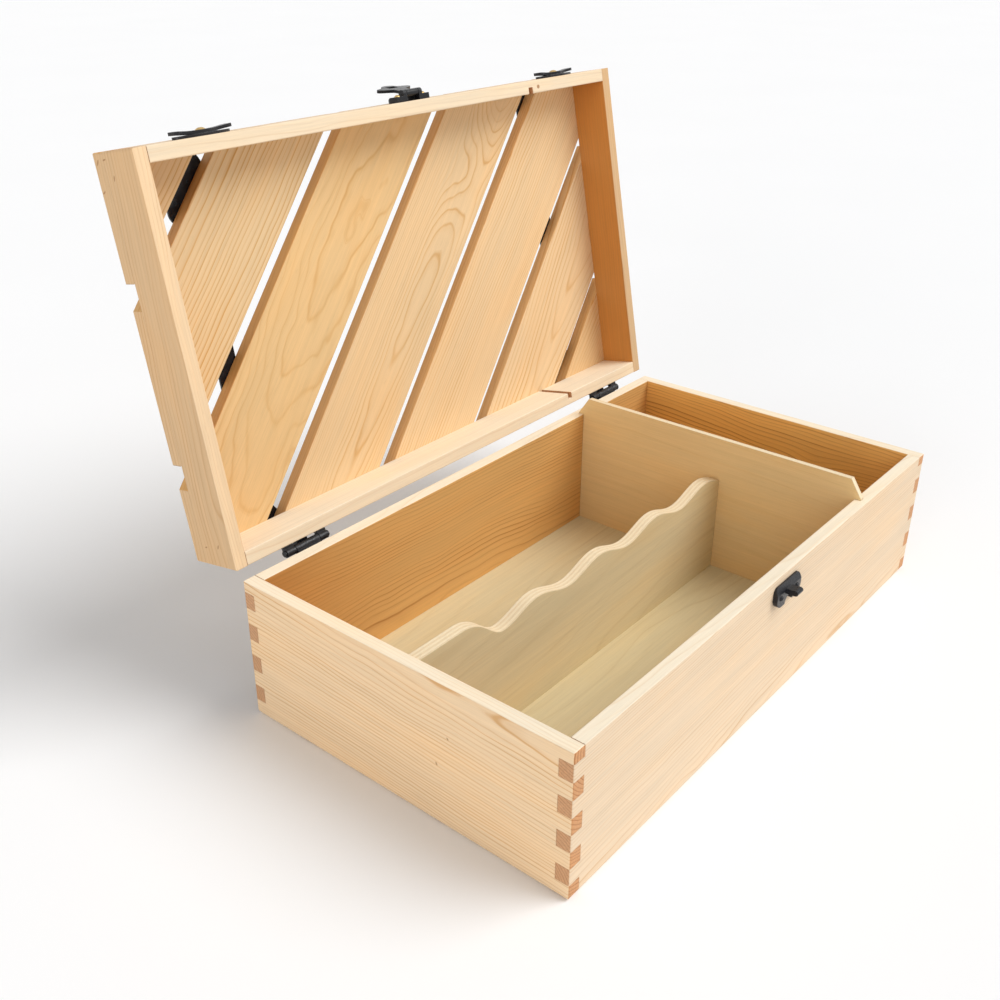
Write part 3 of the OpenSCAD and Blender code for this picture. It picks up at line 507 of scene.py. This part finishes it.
# Painted shade on the slats' long edges
SLAT_EDGE_SHADE = (0.88, 0.74, 0.54)
SLAT_SEEDS = 20
MIDDLE_SLAT = 4
SLATS = {
    1: dict(ring=2.8, pith=(80, -30), contrast=1.3, wobble=6),
    2: dict(ring=2.9, pith=(-70, -30), tilt=(0.0, 0.02), contrast=1.7, wobble=8, early=(0.840, 0.605, 0.340)),
    3: dict(ring=3.0, pith=(10, -64), tilt=(0.03, 0.06), contrast=0.75, wobble=13, flame=4.0,
            early=(0.830, 0.560, 0.270)),
    4: dict(ring=1.3, pith=(8, -26), tilt=(0.02, 0.03), contrast=0.85, wobble=3, eyes=((96, 8, 45, 15, 8),)),
    5: dict(ring=1.9, pith=(-70, -40), tilt=(0.02, 0.0), contrast=1.05, wobble=5,
            early=(0.865, 0.610, 0.345)),
    6: dict(ring=2.8, pith=(10, -30), tilt=(0.0, 0.07), contrast=1.0, wobble=6, early=(0.860, 0.610, 0.350)),
    # Slat 7's darker early colour is partly its own tone and partly painted shade from the lid's right side.
    7: dict(ring=2.4, pith=(-60, -30), tilt=(0.03, 0.0), contrast=1.2, wobble=6, early=(0.800, 0.540, 0.280)),
}


def slat_wood(number, settings):
    """A slat's cut ends on the lid's two sides carry on the side boards' look."""
    name = "slat_%d" % number
    graph = Graph(name)
    middle = Vector(slat_across) * (number - MIDDLE_SLAT) * SLAT_PITCH
    middle += Vector((-SLAT_SHIFT, 0, (SLATS_UNDERSIDE + SLATS_TOP) / 2))
    look = {"seed": SLAT_SEEDS + number, "early": GOLD, "late": GOLD_LATE, "edge": SLAT_EDGE_SHADE, "end": None}
    slat = Timber(graph, OPEN_TURN, middle, slat_grain, slat_across, **{**look, **settings})
    colour = slat.colour
    facing = graph.add("ShaderNodeSeparateXYZ")
    graph.put(facing.inputs[0], graph.add("ShaderNodeTexCoord").outputs["Normal"])
    sides = ((LEFT_SIDE, LEFT_LOOK, -1.0), (RIGHT_SIDE, RIGHT_LOOK, 1.0))
    for (centre, grain, across), side_look, side in sides:
        board = Timber(graph, OPEN_TURN, centre, grain, across, **side_look)
        share = graph.span(graph.math("MULTIPLY", facing.outputs[0], side), 0.80, 0.90)
        colour = graph.mix(share, colour, board.colour)
    return slat.finish(colour)


for number, settings in SLATS.items():
    wear("slat_%d" % number, slat_wood(number, settings))

OLIVE = (0.740, 0.640, 0.400)
OLIVE_LATE = (0.640, 0.520, 0.290)
STRAW = (0.760, 0.545, 0.265)
STRAW_LATE = (0.670, 0.445, 0.195)
PLY_PALE = (0.900, 0.760, 0.530)
PLY_DARK = (0.760, 0.580, 0.340)
PLY_LAYER = 1.3
# node: centre, grain, across, early, late, settings
PLYWOOD = {
    "bottom_panel": ((0, 0, 3), X, Y, OLIVE, OLIVE_LATE, dict(
        seed=31, ring=9.0, pith=(20, -60), tilt=(0.0, 0.08), wobble=14, contrast=0.7)),
    "cross_divider": ((111.5, 0, 50), Y, Z, STRAW, STRAW_LATE, dict(
        seed=32, ring=8.0, pith=(-60, -60), tilt=(0.0, 0.1), wobble=12, contrast=0.35)),
    "bottle_separator": ((-40, -6, 45), X, Z, OLIVE, OLIVE_LATE, dict(
        seed=33, ring=8.0, pith=(-50, -60), tilt=(0.0, 0.1), wobble=12, contrast=0.6)),
}
for node, (centre, grain, across, early, late, settings) in PLYWOOD.items():
    look = {"early": early, "late": late, **settings}
    wear(node, plywood(node, centre, grain, across, PLY_LAYER, PLY_PALE, PLY_DARK, **look))

HAMMER_DEPTH = 2.2
black = iron("black_iron")
hammered = iron("hammered_iron", HAMMER_DEPTH)
gold = brass("brass_nail")
for node in ("left_strap", "right_strap", "left_hinge_leaf", "right_hinge_leaf"):
    wear(node, hammered)
for node in ("left_bow", "right_bow", "strap_nails", "leaf_nails", "left_hinge_pin", "right_hinge_pin",
             "latch_base", "latch_pin", "latch_tongue", "catch_plate", "catch_nails"):
    wear(node, black)
for node in ("brass_nails", "latch_nails"):
    wear(node, gold)

# ---------------------------------------------------------------- floor and light
FLOOR_SIZE = 12.0
FLOOR_DARKER = (0.955, 0.957, 0.960)
FLOOR_LIGHTER = (0.965, 0.967, 0.970)
SOFT_LIGHT = (0.975, 0.985, 1.0, 1.0)
SOFT_STRENGTH = 0.43
WHITE = (1.0, 1.0, 1.0, 1.0)
# towards, strength, angle in degrees, colour
KEY = ((-0.50, 0.62, -0.92), 2.25, 42.0, (1.0, 0.99, 0.98))
FILL = ((0.97, 0.16, -0.16), 1.05, 30.0, (1.0, 1.0, 1.0))


def flat_plane(name, size):
    mesh = bpy.data.meshes.new(name)
    half = size / 2
    corners = [(-half, -half, 0), (half, -half, 0), (half, half, 0), (-half, half, 0)]
    mesh.from_pydata(corners, [], [(0, 1, 2, 3)])
    plane = bpy.data.objects.new(name, mesh)
    bpy.context.scene.collection.objects.link(plane)
    return plane


floor = flat_plane("floor", FLOOR_SIZE)
floor_graph = Graph("floor")
floor_place = floor_graph.add("ShaderNodeTexCoord").outputs["Object"]
floor_cloud = floor_graph.span(floor_graph.noise(floor_place, 3.0, 2.0), 0.3, 0.7, 0.0, 1.0, False)
floor_tone = floor_graph.mix(floor_cloud, FLOOR_DARKER, FLOOR_LIGHTER)
floor_graph.surface(floor_tone, 0.9, 0.0, 0.1)
floor.data.materials.append(floor_graph.material)
bpy.context.scene.view_settings.view_transform = "Standard"

# The world lights softly, and is white to the camera and in reflections
world = bpy.data.worlds.new("world")
world.use_nodes = True
tree = world.node_tree
tree.nodes.clear()
soft = tree.nodes.new("ShaderNodeBackground")
soft.inputs[0].default_value = SOFT_LIGHT
soft.inputs[1].default_value = SOFT_STRENGTH
white = tree.nodes.new("ShaderNodeBackground")
white.inputs[0].default_value = WHITE
white.inputs[1].default_value = 1.0
path = tree.nodes.new("ShaderNodeLightPath")
seen = path.outputs["Is Camera Ray"]
for name in ("Is Glossy Ray", "Is Transmission Ray"):
    either = tree.nodes.new("ShaderNodeMath")
    either.operation = "MAXIMUM"
    tree.links.new(seen, either.inputs[0])
    tree.links.new(path.outputs[name], either.inputs[1])
    seen = either.outputs[0]
backdrop = tree.nodes.new("ShaderNodeMixShader")
tree.links.new(seen, backdrop.inputs[0])
tree.links.new(soft.outputs[0], backdrop.inputs[1])
tree.links.new(white.outputs[0], backdrop.inputs[2])
world_output = tree.nodes.new("ShaderNodeOutputWorld")
tree.links.new(backdrop.outputs[0], world_output.inputs[0])
bpy.context.scene.world = world


def sun(name, towards, strength, angle, colour):
    data = bpy.data.lights.new(name, "SUN")
    data.energy = strength
    data.angle = math.radians(angle)
    data.color = colour
    lamp = bpy.data.objects.new(name, data)
    lamp.rotation_euler = Vector(towards).to_track_quat("-Z", "Y").to_euler()
    bpy.context.scene.collection.objects.link(lamp)


sun("key", *KEY)
sun("fill", *FILL)
